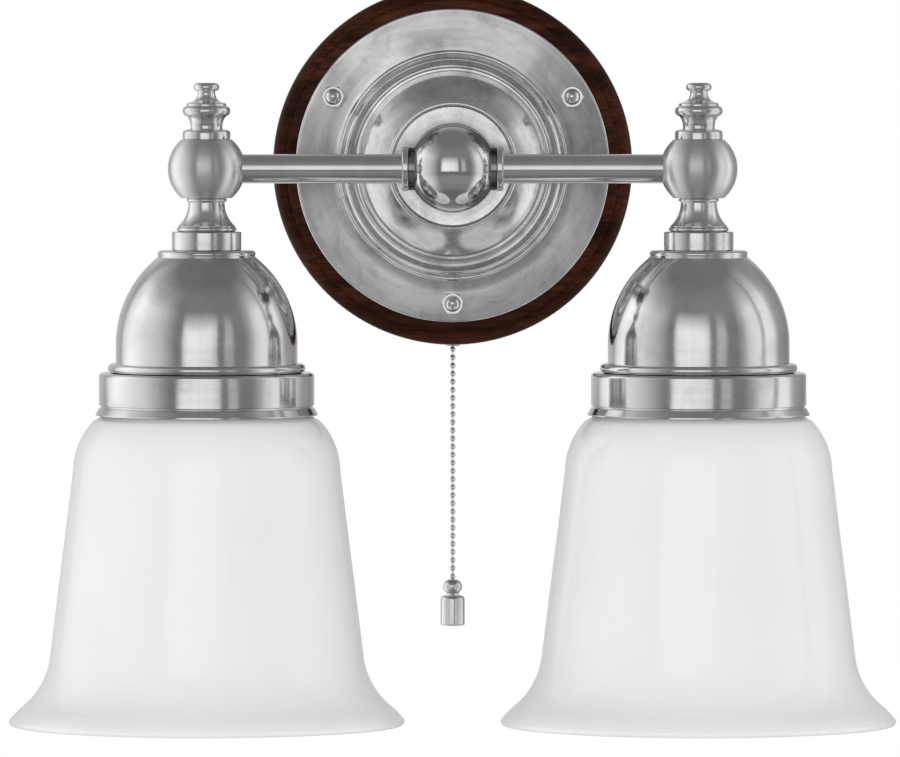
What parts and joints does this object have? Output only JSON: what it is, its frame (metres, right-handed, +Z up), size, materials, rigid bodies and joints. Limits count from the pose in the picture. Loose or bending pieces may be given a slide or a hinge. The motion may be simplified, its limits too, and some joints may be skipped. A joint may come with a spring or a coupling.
{
  "type": "double arm wall sconce",
  "caption": "Wall light with a round wooden base, spun metal back plate, two straight arms, domed lampholders with opal bell shades hanging down, and a bead pull chain.",
  "frame": {"origin": "on the wall, in the middle of the round base", "axes": "+Z up, +Y into the wall, so the lamp stands out towards -Y; +X to the right of someone who looks at the wall"},
  "size_m": [0.3652, 0.1816, 0.3039],
  "materials": {
    "nickel": "polished nickel plate on brass",
    "spun_nickel": "spun brass, nickel plated, satin polish",
    "zinc_steel": "zinc plated steel",
    "brass": "plain brass",
    "black_moulding": "moulded phenolic",
    "white_moulding": "moulded polyamide",
    "rubber": "matt rubber",
    "wire_sleeve": "silicone wire sleeve",
    "opal_glass": "gloss opal glass",
    "dark_wood": "dark stained, satin varnish"
  },
  "bodies": {
    "base": {"back_plate": "spun_nickel", "base_studs": "zinc_steel", "bracket_screws": "zinc_steel", "cable_grommet": "rubber", "cam_pin": "zinc_steel", "cap_nuts": "nickel", "centre_pipe": "brass", "chain_ferrule": "nickel", "hub_ball": "nickel", "left_arm_nut": "nickel", "left_arm_tube": "nickel", "left_centre_contact": "brass", "left_collar": "nickel", "left_dome": "nickel", "left_end_ball": "nickel", "left_finial": "nickel", "left_gallery": "nickel", "left_holder_body": "black_moulding", "left_holder_cap": "black_moulding", "left_lamp_pipe": "brass", "left_lead": "wire_sleeve", "left_neck": "nickel", "left_screw_shell": "brass", "pipe_nut": "brass", "return_spring": "zinc_steel", "right_arm_nut": "nickel", "right_arm_tube": "nickel", "right_centre_contact": "brass", "right_collar": "nickel", "right_dome": "nickel", "right_end_ball": "nickel", "right_finial": "nickel", "right_gallery": "nickel", "right_holder_body": "black_moulding", "right_holder_cap": "black_moulding", "right_lamp_pipe": "brass", "right_lead": "wire_sleeve", "right_neck": "nickel", "right_screw_shell": "brass", "stem": "nickel", "switch_contacts": "brass", "switch_cover": "black_moulding", "switch_housing": "black_moulding", "terminal_block": "white_moulding", "terminal_screws": "zinc_steel", "wall_bracket": "zinc_steel", "wooden_base": "dark_wood"},
    "left_ring": {"left_shade_gasket": "rubber"},
    "left_shade": {"left_glass_shade": "opal_glass"},
    "right_ring": {"right_shade_gasket": "rubber"},
    "right_shade": {"right_glass_shade": "opal_glass"},
    "plunger": {"pull_plunger": "brass", "upper_chain": "nickel"},
    "cam": {"cam_wheel": "black_moulding"},
    "swing_bead": {"pivot_bead": "nickel"},
    "chain": {"chain_weight": "nickel", "pull_chain": "nickel"}
  },
  "joints": [
    {"name": "chain_pull", "type": "slide", "parent": "base", "child": "plunger", "axis": [0, 0, -1], "range_m": [0, 0.008], "stiffness_N_per_m": 500, "springref_m": -0.004, "deforming": ["return_spring"]},
    {"name": "cam_turn", "type": "hinge", "parent": "base", "child": "cam", "pos_m": [-0.0082, -0.009, -0.0235], "axis": [0, 1, 0], "range_deg": [0, 90]},
    {"name": "chain_swing_out", "type": "hinge", "parent": "plunger", "child": "swing_bead", "pos_m": [0, -0.009, -0.0772], "axis": [-1, 0, 0], "range_deg": [-1.5, 25]},
    {"name": "chain_swing_side", "type": "hinge", "parent": "swing_bead", "child": "chain", "pos_m": [0, -0.009, -0.0772], "axis": [0, 1, 0], "range_deg": [-20, 20]},
    {"name": "left_shade_drop", "type": "slide", "parent": "base", "child": "left_ring", "axis": [0, 0, -1], "range_m": [0, 0.0061]},
    {"name": "left_shade_turn", "type": "hinge", "parent": "left_ring", "child": "left_shade", "pos_m": [-0.101, -0.1, -0.09], "axis": [0, 0, -1], "range_deg": [0, 540]},
    {"name": "right_shade_drop", "type": "slide", "parent": "base", "child": "right_ring", "axis": [0, 0, -1], "range_m": [0, 0.0061]},
    {"name": "right_shade_turn", "type": "hinge", "parent": "right_ring", "child": "right_shade", "pos_m": [0.101, -0.1, -0.09], "axis": [0, 0, -1], "range_deg": [0, 540]}
  ],
  "couplings": [
    {"joint": "cam_turn", "follows": "chain_pull", "rad_per_m": 196.3},
    {"joint": "left_shade_drop", "follows": "left_shade_turn", "m_per_rad": 0.00063662},
    {"joint": "right_shade_drop", "follows": "right_shade_turn", "m_per_rad": 0.00063662}
  ]
}
